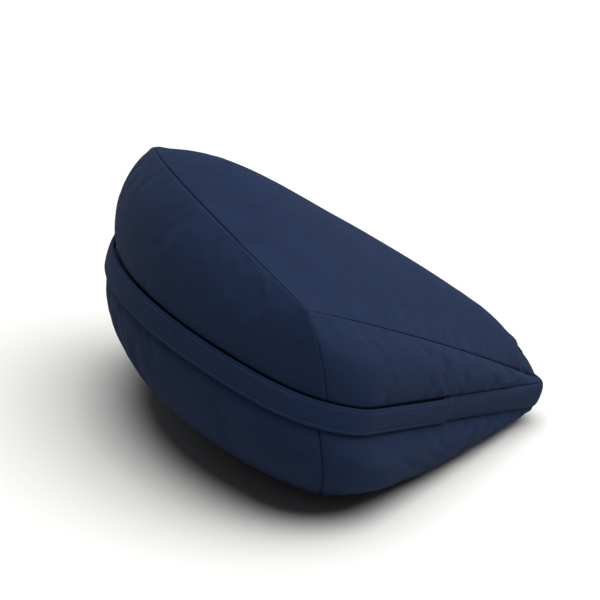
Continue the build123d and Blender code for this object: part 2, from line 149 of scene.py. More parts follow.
def noise(tree, where, scale, stretch=(1, 1, 1), detail=3.0):
    """A noise pattern in metres of the object, pulled out along some directions."""
    mapping = node(tree, "ShaderNodeMapping", Scale=stretch)
    tree.links.new(where, mapping.inputs["Vector"])
    made = node(tree, "ShaderNodeTexNoise", Scale=scale, Detail=detail)
    tree.links.new(mapping.outputs["Vector"], made.inputs["Vector"])
    return made.outputs["Fac"]


def threads(tree, where, pitch, direction):
    """Fine parallel ridges, one per thread."""
    wave = node(tree, "ShaderNodeTexWave", Scale=WAVE_PERIOD / pitch, Distortion=1.2, Detail=2.0)
    wave.bands_direction = direction
    tree.links.new(where, wave.inputs["Vector"])
    return wave.outputs["Fac"]


def maths(tree, operation, a, b):
    made = tree.nodes.new("ShaderNodeMath")
    made.operation = operation
    for socket, value in zip(made.inputs, (a, b)):
        if isinstance(value, (int, float)):
            socket.default_value = value
        else:
            tree.links.new(value, socket)
    return made.outputs[0]


def ramp(tree, factor, stops):
    made = tree.nodes.new("ShaderNodeValToRGB")
    tree.links.new(factor, made.inputs["Fac"])
    elements = made.color_ramp.elements
    while len(elements) < len(stops):
        elements.new(0.5)
    for element, (position, colour) in zip(elements, stops):
        element.position = position
        element.color = (*colour, 1)
    return made.outputs["Color"]


def woven(name, dark, middle, light, roughness=0.92, sheen=0.02, pitch=0.0006, bump=0.12):
    """Plain-woven cloth: crossing threads, slubs, cloudy dye and a faint sheen."""
    material = bpy.data.materials.new(name)
    material.use_nodes = True
    tree = material.node_tree
    shader = tree.nodes["Principled BSDF"]
    where = tree.nodes.new("ShaderNodeTexCoord").outputs["Object"]
    clouds = noise(tree, where, CLOUD_SCALE, detail=4.0)
    streaks = noise(tree, where, STREAK_SCALE, stretch=STREAK_STRETCH, detail=5.0)
    grain = noise(tree, where, GRAIN_SCALE, detail=2.0)
    mixed = maths(tree, "ADD", maths(tree, "MULTIPLY", clouds, CLOUD_SHARE),
                  maths(tree, "MULTIPLY", streaks, STREAK_SHARE))
    mixed = maths(tree, "ADD", mixed, maths(tree, "MULTIPLY", grain, GRAIN_SHARE))
    colour = ramp(tree, mixed, [(0.3, dark), (0.5, middle), (0.7, light)])
    tree.links.new(colour, shader.inputs["Base Color"])
    rough = maths(tree, "ADD", maths(tree, "MULTIPLY", streaks, 0.12), roughness - 0.06)
    tree.links.new(rough, shader.inputs["Roughness"])
    weave = maths(tree, "ADD", threads(tree, where, pitch, "X"), threads(tree, where, pitch, "Z"))
    weave = maths(tree, "ADD", weave, threads(tree, where, pitch, "Y"))
    slubs = maths(tree, "MULTIPLY", streaks, 1.5)
    height = maths(tree, "ADD", weave, slubs)
    raised = node(tree, "ShaderNodeBump", Strength=bump, Distance=WEAVE_DEPTH)
    tree.links.new(height, raised.inputs["Height"])
    tree.links.new(raised.outputs["Normal"], shader.inputs["Normal"])
    shader.inputs["Sheen Weight"].default_value = sheen
    shader.inputs["Sheen Roughness"].default_value = 0.5
    shader.inputs["Sheen Tint"].default_value = (0.55, 0.65, 1.0, 1)
    shader.inputs["Specular IOR Level"].default_value = 0.05
    return material


def grained(name, dark, light, roughness, scale, metal=0.0, bump=0.1):
    """Metal, plastic or foam with a fine grain, worn lighter in places."""
    material = bpy.data.materials.new(name)
    material.use_nodes = True
    tree = material.node_tree
    shader = tree.nodes["Principled BSDF"]
    where = tree.nodes.new("ShaderNodeTexCoord").outputs["Object"]
    grain = noise(tree, where, scale, detail=4.0)
    colour = ramp(tree, grain, [(0.4, dark), (0.7, light)])
    tree.links.new(colour, shader.inputs["Base Color"])
    rough = maths(tree, "ADD", maths(tree, "MULTIPLY", grain, 0.3), roughness - 0.15)
    tree.links.new(rough, shader.inputs["Roughness"])
    raised = node(tree, "ShaderNodeBump", Strength=bump, Distance=GRAIN_DEPTH)
    tree.links.new(grain, raised.inputs["Height"])
    tree.links.new(raised.outputs["Normal"], shader.inputs["Normal"])
    shader.inputs["Metallic"].default_value = metal
    return material


def bead_material():
    """White foam beads pressed against each other."""
    material = grained("beads", (0.78, 0.78, 0.76), (0.9, 0.9, 0.89), 0.6, 300.0)
    tree = material.node_tree
    where = tree.nodes.new("ShaderNodeTexCoord").outputs["Object"]
    cells = node(tree, "ShaderNodeTexVoronoi", Scale=BEAD_SCALE)
    tree.links.new(where, cells.inputs["Vector"])
    raised = node(tree, "ShaderNodeBump", Strength=0.8, Distance=BEAD_DEPTH)
    raised.invert = True
    tree.links.new(cells.outputs["Distance"], raised.inputs["Height"])
    tree.links.new(raised.outputs["Normal"], tree.nodes["Principled BSDF"].inputs["Normal"])
    return material


NAVY = ((0.0085, 0.0128, 0.034), (0.009, 0.0168, 0.0425), (0.0102, 0.0212, 0.053))
MATERIALS = {
    "cover_cotton": woven("cover_cotton", *NAVY),
    "band_cotton": woven("band_cotton", *NAVY, bump=0.16),
    "seam_thread": woven("seam_thread", (0.028, 0.045, 0.1), (0.036, 0.058, 0.125), (0.046, 0.072, 0.15)),
    "liner_cotton": woven("liner_cotton", (0.6, 0.57, 0.5), (0.7, 0.67, 0.6), (0.78, 0.75, 0.68)),
    "zipper_tape": woven("zipper_tape", (0.01, 0.014, 0.035), (0.014, 0.02, 0.05), (0.02, 0.03, 0.065),
                         pitch=0.0009),
    "zipper_coil": grained("zipper_coil", (0.012, 0.016, 0.035), (0.02, 0.026, 0.05), 0.4, 700.0),
    "zipper_metal": grained("zipper_metal", (0.03, 0.04, 0.07), (0.12, 0.13, 0.16), 0.35, 250.0, metal=0.7),
    "beads": bead_material(),
}


# ---- the cushion's lines and panels, as in the CAD ------------------------------------------------
BAND_TILT = radians(16)
BACK_RADIUS = 418.0
BACK_HALF_ANGLE = radians(35)
CORNER_RADIUS = 73.0
SIDE_ANGLE = radians(39.5)
TIP_RADIUS = 34.0
BAND_HALF_HEIGHT = 13.0
BAND_BACK_X = -224.0
BAND_BACK_Z = 160.5
TOP_CORNER = (-122.0, 259.0, 227.0)
TOP_BACK_BOW = (-57.0, 49.0)
TOP_TIP = (229.0, 43.0)
TOP_SIDE_BOW = (16.0, 6.0)
TOP_CROWN = 40.0
BOTTOM_CORNER = (-75.0, 195.0, 10.0)
BOTTOM_BACK_BOW = (-56.0, 0.0)
BOTTOM_TIP = (221.0, 10.0)
BOTTOM_SIDE_BOW = (18.0, 0.0)
FLOOR_SAG = 2.0                     # how far the bottom would hang below the floor, if it could
TIP_HALF_WIDTH = 0.4                # the sewn panels run out to a point
UPPER_BULGE = 16.0
UPPER_SIDE_SWELL = 2.0              # how much more the side panels bulge along their middles
LOWER_BULGE = 28.0
LOWER_SIDE_SWELL = 12.0
UPPER_LIFT = 0.45
LOWER_LIFT = -0.25
TALLEST = 1.2                       # tall panels bulge at most this much more than the usual
FULL_UPPER = 98.0                   # the panels' heights at their tallest
FULL_LOWER = 130.0
CORE = np.array([-20.0, 0.0, 115.0])
FLAP_END = 155.0
LINER_DEPTH = 14.0
FILL_DEPTH = 16.5

HEADING_BACK = radians(-90)
HEADING_CORNER = HEADING_BACK + BACK_HALF_ANGLE
BACK_LENGTH = BACK_RADIUS * BACK_HALF_ANGLE
CORNER_LENGTH = CORNER_RADIUS * (SIDE_ANGLE - HEADING_CORNER)
CORNER_START = np.array([BACK_RADIUS * (1 - cos(BACK_HALF_ANGLE)),
                         -BACK_RADIUS * sin(BACK_HALF_ANGLE)])


def turn(radius, start, end):
    """How far an arc moves while its heading turns from start to end."""
    return radius * np.array([sin(end) - sin(start), cos(start) - cos(end)])


SIDE_START = CORNER_START + turn(CORNER_RADIUS, HEADING_CORNER, SIDE_ANGLE)
SIDE_LENGTH = (-SIDE_START[1] - turn(TIP_RADIUS, SIDE_ANGLE, pi / 2)[1]) / sin(SIDE_ANGLE)
SIDE_HEADING = np.array([cos(SIDE_ANGLE), sin(SIDE_ANGLE)])
SIDE_AT = BACK_LENGTH + CORNER_LENGTH
TIP_AT = SIDE_AT + SIDE_LENGTH
TIP_START = SIDE_START + SIDE_LENGTH * SIDE_HEADING
LINE_END = TIP_AT + TIP_RADIUS * (pi / 2 - SIDE_ANGLE)
CORNER_SEAM_AT = BACK_LENGTH + CORNER_LENGTH / 2
TIP_SEAM_AT = LINE_END - TIP_RADIUS * asin(TIP_HALF_WIDTH / TIP_RADIUS)
BAND_ORIGIN = np.array([BAND_BACK_X, 0.0, BAND_BACK_Z])
BAND_ALONG = np.array([cos(BAND_TILT), 0.0, -sin(BAND_TILT)])
BAND_UP = np.array([sin(BAND_TILT), 0.0, cos(BAND_TILT)])
SIDEWAYS = np.array([0.0, 1.0, 0.0])


def band_frame(place):
    """A point on the middle of the band, the direction out and the direction along.

    Places count from the middle of the back, and are negative on the left."""
    distance = abs(place)
    if distance < BACK_LENGTH:
        heading = HEADING_BACK + distance / BACK_RADIUS
        point = turn(BACK_RADIUS, HEADING_BACK, heading)
    elif distance < SIDE_AT:
        heading = HEADING_CORNER + (distance - BACK_LENGTH) / CORNER_RADIUS
        point = CORNER_START + turn(CORNER_RADIUS, HEADING_CORNER, heading)
    elif distance < TIP_AT:
        heading = SIDE_ANGLE
        point = SIDE_START + (distance - SIDE_AT) * SIDE_HEADING
    else:
        heading = SIDE_ANGLE + (distance - TIP_AT) / TIP_RADIUS
        point = TIP_START + turn(TIP_RADIUS, SIDE_ANGLE, heading)
    side = 1.0 if place >= 0 else -1.0
    spot = BAND_ORIGIN + point[0] * BAND_ALONG + side * point[1] * SIDEWAYS
    out = sin(heading) * BAND_ALONG - side * cos(heading) * SIDEWAYS
    along = side * cos(heading) * BAND_ALONG + sin(heading) * SIDEWAYS
    return spot, out, along


def hump(value):
    return 4 * value * (1 - value)


def full_hump(value):
    """Like hump, but it keeps more of its height towards both ends."""
    return 1 - (2 * value - 1) ** 6


def mirrored(point, flip):
    return point * np.array([1.0, -1.0 if flip else 1.0, 1.0])


def back_seam(u, half):
    across = 2 * u - 1
    rise = 1 - across ** 2
    corner, bow = half["corner"], half["bow"]
    return np.array([corner[0] + bow[0] * rise, corner[1] * across, corner[2] + bow[1] * rise])


def side_seam(u, half):
    corner, tip, bow = half["corner"], half["tip"], half["side"]
    start = np.array([corner[0], -corner[1], corner[2]])
    run = np.array([tip[0], -TIP_HALF_WIDTH, tip[1]]) - start
    out = np.array([run[1], -run[0], 0.0]) / np.hypot(run[0], run[1])
    return start + run * u + hump(u) * (bow[0] * out + np.array([0.0, 0.0, bow[1]]))


def bulged(low, high, v, out, half, swell=0.0):
    reach = min(np.linalg.norm(high - low) / half["full"], TALLEST)
    direction = out + np.array([0.0, 0.0, half["lift"]])
    direction = direction / np.linalg.norm(direction)
    return low + (high - low) * v + hump(v) * (half["bulge"] + swell) * reach * direction


UPPER = dict(corner=TOP_CORNER, bow=TOP_BACK_BOW, side=TOP_SIDE_BOW, tip=TOP_TIP,
             edge=BAND_HALF_HEIGHT, bulge=UPPER_BULGE, swell=UPPER_SIDE_SWELL,
             lift=UPPER_LIFT, full=FULL_UPPER)
LOWER = dict(corner=BOTTOM_CORNER, bow=BOTTOM_BACK_BOW, side=BOTTOM_SIDE_BOW, tip=BOTTOM_TIP,
             edge=-BAND_HALF_HEIGHT, bulge=LOWER_BULGE, swell=LOWER_SIDE_SWELL,
             lift=LOWER_LIFT, full=FULL_LOWER)


def back_panel(half):
    def point(u, v):
        across = 2 * u - 1
        spot, out, _ = band_frame(-across * CORNER_SEAM_AT)
        return bulged(spot + half["edge"] * BAND_UP, back_seam(u, half), v, out, half)
    return point


def side_panel(half, flip):
    def point(u, v):
        spot, out, _ = band_frame(CORNER_SEAM_AT + u * (TIP_SEAM_AT - CORNER_SEAM_AT))
        low = spot + half["edge"] * BAND_UP
        swell = half["swell"] * full_hump(u)
        return mirrored(bulged(low, side_seam(u, half), v, out, half, swell), flip)
    return point


def face_panel(half, rise):
    def point(u, v):
        right = side_seam(u, half)
        left = mirrored(right, True)
        across = 1 - (2 * v - 1) ** 2
        back = across * (1 - u) ** 2
        bow = np.array([half["bow"][0] * back, 0.0, half["bow"][1] * back])
        return right + (left - right) * v + bow + np.array([0.0, 0.0, rise(u, v)])
    return point


def band_wall(kind, flip=False):
    def point(u, v):
        height = (2 * v - 1) * BAND_HALF_HEIGHT
        if kind == "back":
            spot, _, _ = band_frame(-(2 * u - 1) * CORNER_SEAM_AT)
            return spot + height * BAND_UP
        spot, _, _ = band_frame(CORNER_SEAM_AT + u * (TIP_SEAM_AT - CORNER_SEAM_AT))
        return mirrored(spot + height * BAND_UP, flip)
    return point


def top_rise(u, v):
    return TOP_CROWN * full_hump(u) * (1 - (2 * v - 1) ** 2)


def bottom_rise(u, v):
    """Falls from the bottom seam to the floor, and lies flat on it."""
    return -min(BOTTOM_CORNER[2], (BOTTOM_CORNER[2] + FLOOR_SAG) * full_hump(u) * full_hump(v))


PANELS = {
    "top_panel": face_panel(UPPER, top_rise),
    "back_upper_panel": back_panel(UPPER),
    "right_upper_panel": side_panel(UPPER, False),
    "left_upper_panel": side_panel(UPPER, True),
    "back_lower_panel": back_panel(LOWER),
    "right_lower_panel": side_panel(LOWER, False),
    "left_lower_panel": side_panel(LOWER, True),
    "bottom_panel": face_panel(LOWER, bottom_rise),
}
WALLS = {"back": band_wall("back"), "right": band_wall("side"), "left": band_wall("side", True)}


# ---- mesh helpers -----------------------------------------------------------------------------------
def grid(point, us, vs):
    return np.array([[point(u, v) for v in vs] for u in us])


def grid_faces(rows, columns, first=0):
    a = first + (np.arange(rows - 1)[:, None] * columns + np.arange(columns - 1)[None]).reshape(-1)
    return np.stack([a, a + 1, a + columns + 1, a + columns], axis=1)


def new_object(name, points, faces, material):
    data = bpy.data.meshes.new(name)
    data.from_pydata((np.asarray(points) * MM).tolist(), [], [tuple(map(int, f)) for f in faces])
    data.materials.append(MATERIALS[material])
    data.polygons.foreach_set("use_smooth", [True] * len(data.polygons))
    made = bpy.data.objects.new(name, data)
    bpy.context.scene.collection.objects.link(made)
    return made


def piece(name, points, faces, material, replaced=()):
    made = new_object(name, points, faces, material)
    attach(made, BODY)
    if replaced:
        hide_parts(*replaced)
    return made


def faces_out(points, faces):
    """The faces turned so that they point away from the core."""
    corners = points[np.asarray(faces)]
    normal = np.cross(corners[:, 2] - corners[:, 0], corners[:, 3] - corners[:, 1])
    away = corners.mean(1) - CORE
    if (normal * away).sum() < 0:
        return np.asarray(faces)[:, ::-1]
    return np.asarray(faces)


def layer(points, depth):
    away = points - CORE
    return points - depth * away / np.linalg.norm(away, axis=-1, keepdims=True)


def value_noise(x, y, seed):
    """Smooth repeatable noise from -1 to 1 with one bump per unit."""
    def corner(i, j):
        return np.modf(np.abs(np.sin(i * 127.1 + j * 311.7 + seed * 74.7) * 43758.5453))[0]
    i, j = np.floor(x), np.floor(y)
    fx, fy = x - i, y - j
    fx, fy = fx * fx * (3 - 2 * fx), fy * fy * (3 - 2 * fy)
    low = corner(i, j) * (1 - fx) + corner(i + 1, j) * fx
    high = corner(i, j + 1) * (1 - fx) + corner(i + 1, j + 1) * fx
    return 2 * (low * (1 - fy) + high * fy) - 1


# ---- the cover is filled: cloth with pressure inside, held at its seams ------------------------------
SIM_LONG = 46
SIM_BACK = 60
SIM_SHORT = 12
SIM_WALL = 2
SIM_FRAMES = 20
SIM_PRESSURE = 4.0
SIM_SPARE = -0.004                  # below zero, so the cloth is cut 0.4 per cent larger
SIM_CAP = 4.5                       # no point moves farther than this


def sim_steps(name):
    """How many cells each panel has along u and v."""
    if name in ("top_panel", "bottom_panel"):
        return SIM_LONG, SIM_BACK
    return (SIM_BACK if name.startswith("back") else SIM_LONG), SIM_SHORT


def weld():
    """One closed mesh of all panels and the wall behind the band, and each panel's vertices in it."""
    index = {}
    points, faces, pinned, members = [], [], set(), {}
    surfaces = [(name, PANELS[name], *sim_steps(name)) for name in PANELS]
    surfaces += [("wall_" + name, WALLS[name], SIM_BACK if name == "back" else SIM_LONG, SIM_WALL)
                 for name in WALLS]
    for name, surface, rows, columns in surfaces:
        samples = grid(surface, np.linspace(0, 1, rows + 1), np.linspace(0, 1, columns + 1))
        flat = samples.reshape(-1, 3)
        ids = []
        for spot in flat:
            key = tuple(np.round(spot, 2))
            if key not in index:
                index[key] = len(points)
                points.append(spot)
            ids.append(index[key])
        ids = np.array(ids).reshape(rows + 1, columns + 1)
        members[name] = ids
        if name == "bottom_panel" or name.startswith("wall"):
            pinned.update(ids.reshape(-1))
        # the last row but one is held too, for the sake of the slivers next to the tip
        for edge in (ids[0], ids[-1], ids[-2], ids[:, 0], ids[:, -1]):
            pinned.update(edge)
        cells = ids.reshape(-1)[faces_out(flat, grid_faces(rows + 1, columns + 1))]
        faces += [cell for cell in cells if len(set(cell)) == 4]
    return np.array(points), faces, sorted(int(i) for i in pinned), members


def filled(points, faces, pinned):
    """How far each point moves when the cover is filled."""
    made = new_object("filling_run", points, faces, "cover_cotton")
    group = made.vertex_groups.new(name="seams")
    group.add(pinned, 1.0, "REPLACE")
    cloth = made.modifiers.new("cloth", "CLOTH")
    settings = cloth.settings
    settings.quality = 6
    settings.mass = 0.25
    settings.tension_stiffness = 12
    settings.compression_stiffness = 12
    settings.shear_stiffness = 6
    settings.bending_stiffness = 0.6
    settings.vertex_group_mass = "seams"
    settings.use_pressure = True
    settings.uniform_pressure_force = SIM_PRESSURE
    settings.shrink_min = SIM_SPARE
    settings.effector_weights.gravity = 0
    cloth.collision_settings.use_collision = False
    cloth.point_cache.frame_start = 1
    cloth.point_cache.frame_end = SIM_FRAMES
    scene = bpy.context.scene
    for moment in range(1, SIM_FRAMES + 1):
        scene.frame_set(moment)
    shaped = made.evaluated_get(bpy.context.evaluated_depsgraph_get()).to_mesh()
    moved = np.empty(len(points) * 3, np.float32)
    shaped.vertices.foreach_get("co", moved)
    shift = moved.reshape(-1, 3) / MM - points
    bpy.data.objects.remove(made, do_unlink=True)
    scene.frame_set(1)
    reach = np.linalg.norm(shift, axis=1, keepdims=True)
    return shift * (SIM_CAP * np.tanh(reach / SIM_CAP) / np.maximum(reach, 1e-9))


def resample(values, us, vs):
    """Smooth interpolation of a grid at other places along both of its directions."""
    def weights(places, count):
        at = np.clip(places, 0, 1) * (count - 1)
        first = np.minimum(at.astype(int), count - 2)
        t = at - first
        table = np.zeros((len(places), count))
        parts = (-t + 2 * t ** 2 - t ** 3, 2 - 5 * t ** 2 + 3 * t ** 3,
                 t + 4 * t ** 2 - 3 * t ** 3, t ** 3 - t ** 2)
        for step, part in zip((-1, 0, 1, 2), parts):
            spot = np.clip(first + step, 0, count - 1)
            np.add.at(table, (np.arange(len(places)), spot), part / 2)
        return table
    return np.einsum("ia,abk,jb->ijk", weights(us, values.shape[0]), values,
                     weights(vs, values.shape[1]))


# ---- the sewn panels ----------------------------------------------------------------------------------
SEAM_ROWS = np.array([0.0, 0.4, 0.9, 1.5, 2.3, 3.4, 4.8, 6.6, 9.0, 12.0, 15.5])
SEAM_ROUND = 2.6                    # how the cloth rolls down into a seam
SEAM_WIDTH = 3.4
CLOTH = 0.9
ALLOWANCE = 8.0
PUCKER = 0.26
PUCKER_PITCH = 11.0
PUCKER_REACH = 6.0                  # puckers are highest this far from the seam
PUCKER_LENGTH = 22.0
LUMP = 0.9
LUMP_SIZE = 70.0
SMALL_LUMP = LUMP / 3
SMALL_LUMP_SIZE = LUMP_SIZE / 2.6
CALM_EDGE = 25.0                    # the lumps fade away towards a seam over this distance
ROW_SPACING = 4.5
BACK_PANEL_LENGTH = 600.0           # rough panel sizes, for spacing the rows
SIDE_PANEL_LENGTH = 430.0
FACE_PANEL_WIDTH = 520.0
SIDE_PANEL_HEIGHT = 115.0
FLOOR_GAP = 0.05


def places(length, spacing):
    """Places from 0 to 1, with closer rows at both ends."""
    rows = SEAM_ROWS / length
    inner = max(int((length - 2 * SEAM_ROWS[-1]) / spacing), 2)
    between = np.linspace(rows[-1], 1 - rows[-1], inner + 1)
    return np.concatenate([rows[:-1], between, 1 - rows[-2::-1]])


def edge_distances(points):
    """How far each point is from the four edges, along the grid's own lines."""
    def run(values, axis):
        step = np.linalg.norm(np.diff(values, axis=axis), axis=2)
        start = np.zeros_like(np.take(step, [0], axis=axis))
        return np.concatenate([start, np.cumsum(step, axis=axis)], axis=axis)
    u, v = run(points, 0), run(points, 1)
    return [(u, v), (u[-1:] - u, v), (v, u), (v[:, -1:] - v, u)]


def grid_normals(points):
    normal = np.cross(np.gradient(points, axis=0), np.gradient(points, axis=1))
    normal = normal / np.maximum(np.linalg.norm(normal, axis=2, keepdims=True), 1e-9)
    away = points - CORE
    return normal * np.sign((normal * away).sum(2).mean())


def sewn(points, seed, flat_bottom):
    """Adds to a panel's surface what sewing and filling do: rolled seams, puckers and lumps."""
    normal = grid_normals(points)
    away = points - CORE
    inward = -away / np.linalg.norm(away, axis=2, keepdims=True)
    depth = np.zeros(points.shape[:2])
    relief = np.zeros(points.shape[:2])
    near = np.full(points.shape[:2], 1e9)
    for number, (off, along) in enumerate(edge_distances(points)):
        rolled = np.clip(1 - off / SEAM_WIDTH, 0, 1)
        depth = np.maximum(depth, SEAM_ROUND * (1 - np.sqrt(1 - np.minimum(rolled, 0.999) ** 2)))
        fade = (off / PUCKER_REACH) * np.exp(1 - off / PUCKER_REACH)
        waves = value_noise(along / PUCKER_PITCH, off / PUCKER_LENGTH, seed * 4 + number)
        relief += PUCKER * fade * waves
        near = np.minimum(near, off)
    calm = 1 - np.exp(-near / CALM_EDGE)
    for size, height in ((LUMP_SIZE, LUMP), (SMALL_LUMP_SIZE, SMALL_LUMP)):
        across = value_noise(points[..., 0] / size, points[..., 1] / size, seed + 11)
        upright = value_noise((points[..., 0] + points[..., 1]) / size, points[..., 2] / size, seed + 23)
        relief += height * calm * (across + upright) / 2
    if flat_bottom:
        relief = np.where(points[..., 2] < 1.0, 0.0, relief)
        depth = np.where(points[..., 2] < 1.0, 0.0, depth)
    return points + normal * relief[..., None] + inward * depth[..., None]


def with_allowance(points):
    """Rows added past each edge, where the cloth goes on into the cushion as a seam allowance."""
    middle = points[1:-1, 1:-1].mean((0, 1))

    def tucked(edge):
        away = edge - CORE
        inward = -away / np.linalg.norm(away, axis=-1, keepdims=True)
        side = (middle - edge) / np.linalg.norm(middle - edge, axis=-1, keepdims=True)
        return edge + inward * ALLOWANCE + side * CLOTH

    points = np.concatenate([tucked(points[:1]), points, tucked(points[-1:])], axis=0)
    return np.concatenate([tucked(points[:, :1]), points, tucked(points[:, -1:])], axis=1)


def make_cover():
    points, faces, pinned, members = weld()
    shift = filled(points, faces, pinned)
    surfaces = {}
    for seed, name in enumerate(PANELS):
        _, columns = sim_steps(name)
        length = BACK_PANEL_LENGTH if name.startswith("back") else SIDE_PANEL_LENGTH
        height = FACE_PANEL_WIDTH if columns == SIM_BACK else SIDE_PANEL_HEIGHT
        us = places(length, ROW_SPACING)
        vs = places(height, ROW_SPACING)
        moved = resample(shift[members[name]], us, vs)
        surface = sewn(grid(PANELS[name], us, vs) + moved, seed, name == "bottom_panel")
        surface[..., 2] = np.maximum(surface[..., 2], FLOOR_GAP)
        surfaces[name] = surface
        sheet = with_allowance(surface)
        sheet[..., 2] = np.maximum(sheet[..., 2], FLOOR_GAP)
        flat = sheet.reshape(-1, 3)
        cells = faces_out(flat, grid_faces(sheet.shape[0], sheet.shape[1]))
        made = piece("sewn_" + name, flat, cells, "cover_cotton", replaced=[name])
        thick = made.modifiers.new("cloth thickness", "SOLIDIFY")
        thick.thickness = CLOTH * MM
        thick.offset = -1
    return surfaces


# ---- strips that follow the band ------------------------------------------------------------------------
SWAY_LENGTH = 38.0                  # the flap waves in and out over this length
RIPPLE_LENGTH, RIPPLE_SHARE = 9.0, 0.35
LIFT_LENGTH, LIFT_SHARE = 27.0, 0.5
BAND_STEP = 3.0
TAB_STEP = 2.0
FLAP_WAVE = 0.55
BAND_UNDER_FLAP = 3.0               # how far the tip band runs in under the flap


def band_places(begin, end, spacing):
    return np.linspace(begin, end, max(int((end - begin) / spacing), 2) + 1)


def swept(name, profile, spots, material, replaced=(), wave=0.0, seed=0):
    """A closed profile of (outwards, up) points swept along the band, with a slight waviness."""
    profile = np.array(profile)
    rings = []
    for place in spots:
        spot, out, _ = band_frame(place)
        loose = np.clip((profile[:, 1] + BAND_HALF_HEIGHT) / (2 * BAND_HALF_HEIGHT), 0, 1)
        sway = wave * value_noise(np.array([place / SWAY_LENGTH]), np.array([0.5]), seed)[0]
        small = (RIPPLE_SHARE * wave
                 * value_noise(np.array([place / RIPPLE_LENGTH]), np.array([0.5]), seed + 5)[0])
        lift = (LIFT_SHARE * wave
                * value_noise(np.array([place / LIFT_LENGTH]), np.array([0.5]), seed + 9)[0])
        n = profile[:, 0] + (sway + small) * loose
        h = profile[:, 1] + lift * loose
        rings.append(spot + n[:, None] * out + h[:, None] * BAND_UP)
    rings = np.array(rings)
    count, around = rings.shape[:2]
    flat = rings.reshape(-1, 3)
    index = np.arange(count * around).reshape(count, around)
    a, b = index[:-1], index[1:]
    cells = np.stack([a, np.roll(a, -1, 1), np.roll(b, -1, 1), b], axis=2).reshape(-1, 4)
    made = piece(name, flat, list(cells) + [index[0][::-1], index[-1]], material, replaced)
    made.data.validate()
    recalculate(made)


def recalculate(made, merge=0.0):
    """Turns the faces outwards, after merging points that lie closer than merge."""
    work = bmesh.new()
    work.from_mesh(made.data)
    if merge:
        bmesh.ops.remove_doubles(work, verts=work.verts, dist=merge)
    bmesh.ops.recalc_face_normals(work, faces=work.faces)
    work.to_mesh(made.data)
    work.free()


TOPSTITCH_H = 9.6                   # the rows of topstitching on the flap
ROOT_STITCH_H = -10.2
FLAP_FACE = 5.9                     # how far the flap's outer face stands out


def flap_profile():
    """Outer face from the lower seam up to the fold, round it, and down inside to the hem."""
    return [
        (0.4, -13.6), (2.2, -13.9), (4.0, -13.2), (5.0, -12.2), (5.1, -11.2),
        (4.75, ROOT_STITCH_H), (5.3, -9.2), (5.7, -7.0), (FLAP_FACE, -3.5), (FLAP_FACE + 0.1, 0.5),
        (FLAP_FACE, 4.5), (5.6, 7.6), (4.95, TOPSTITCH_H), (5.1, 10.9), (4.8, 12.1),
        (4.3, 13.0), (3.7, 13.5), (3.1, 13.5), (2.6, 13.0), (2.6, 12.2),
        (3.3, 11.2), (4.0, 8.0), (4.1, 2.0), (3.9, -4.0), (3.4, -9.8), (1.6, -10.4), (0.4, -10.8),
    ]


def front_profile():
    return [
        (-0.8, -13.4), (0.4, -13.5), (1.5, -12.9), (2.5, -11.6), (3.6, -8.5), (4.3, -3.2),
        (4.3, 3.2), (3.6, 8.5), (2.5, 11.6), (1.5, 12.9), (0.4, 13.5), (-0.8, 13.4),
        (0.4, 10.0), (0.8, 0.0), (0.4, -10.0),
    ]


def make_band():
    end = SIDE_AT + FLAP_END
    swept("folded_zipper_flap", flap_profile(), band_places(-end, end, BAND_STEP), "band_cotton",
          replaced=["zipper_flap"], wave=FLAP_WAVE, seed=3)
    around = band_places(end - BAND_UNDER_FLAP, LINE_END, BAND_STEP)
    spots = np.concatenate([around, -around[-2::-1]])
    swept("tip_band", front_profile(), spots, "band_cotton", replaced=["front_band"])


TAB_START = 144.0                   # the cloth tabs that close the zipper's ends, under the flap
TAB_END = 158.0


def make_zipper_tabs():
    profile = [(-0.7, -13.2), (0.3, -13.2), (0.9, -9.0), (1.0, 0.0), (0.9, 9.0), (0.3, 13.2),
               (-0.7, 13.2), (-0.3, 9.0), (-0.2, 0.0), (-0.3, -9.0)]
    for name, side in (("right", 1), ("left", -1)):
        spots = side * band_places(SIDE_AT + TAB_START, SIDE_AT + TAB_END, TAB_STEP)
        swept("zipper_end_tab_" + name, profile, spots, "band_cotton")


# ---- stitches ------------------------------------------------------------------------------------
STITCH_PITCH = 3.2
STITCH_LENGTH = 2.5
THREAD = 0.27                       # the thread's radius
TOPSTITCH_N = 5.08                  # how far out each row of stitches lies
ROOT_STITCH_N = 4.9
END_ROW_INSET = 1.2                 # the upright row, in from the flap's end
END_ROW_MARGIN_LOW = 1.6
END_ROW_MARGIN_HIGH = 1.0
END_ROW_PROUD = 0.05
END_ROW_BOW = 0.00125               # how fast the flap's face falls back above and below
NEEDLE_PITCH = STITCH_PITCH * 1.15  # the stitches across the corner seams
NEEDLE_LENGTH = 2.6
NEEDLE_START, NEEDLE_STOP = 4.0, 2.0
NEEDLE_PROUD = 0.9
NEEDLE_LEAN = 0.4
LOOK_AHEAD = 0.5                    # how far on along a seam its direction is taken from
NO_THREAD_WAY = (0.31, 0.22, 0.92)  # a direction that no thread runs along


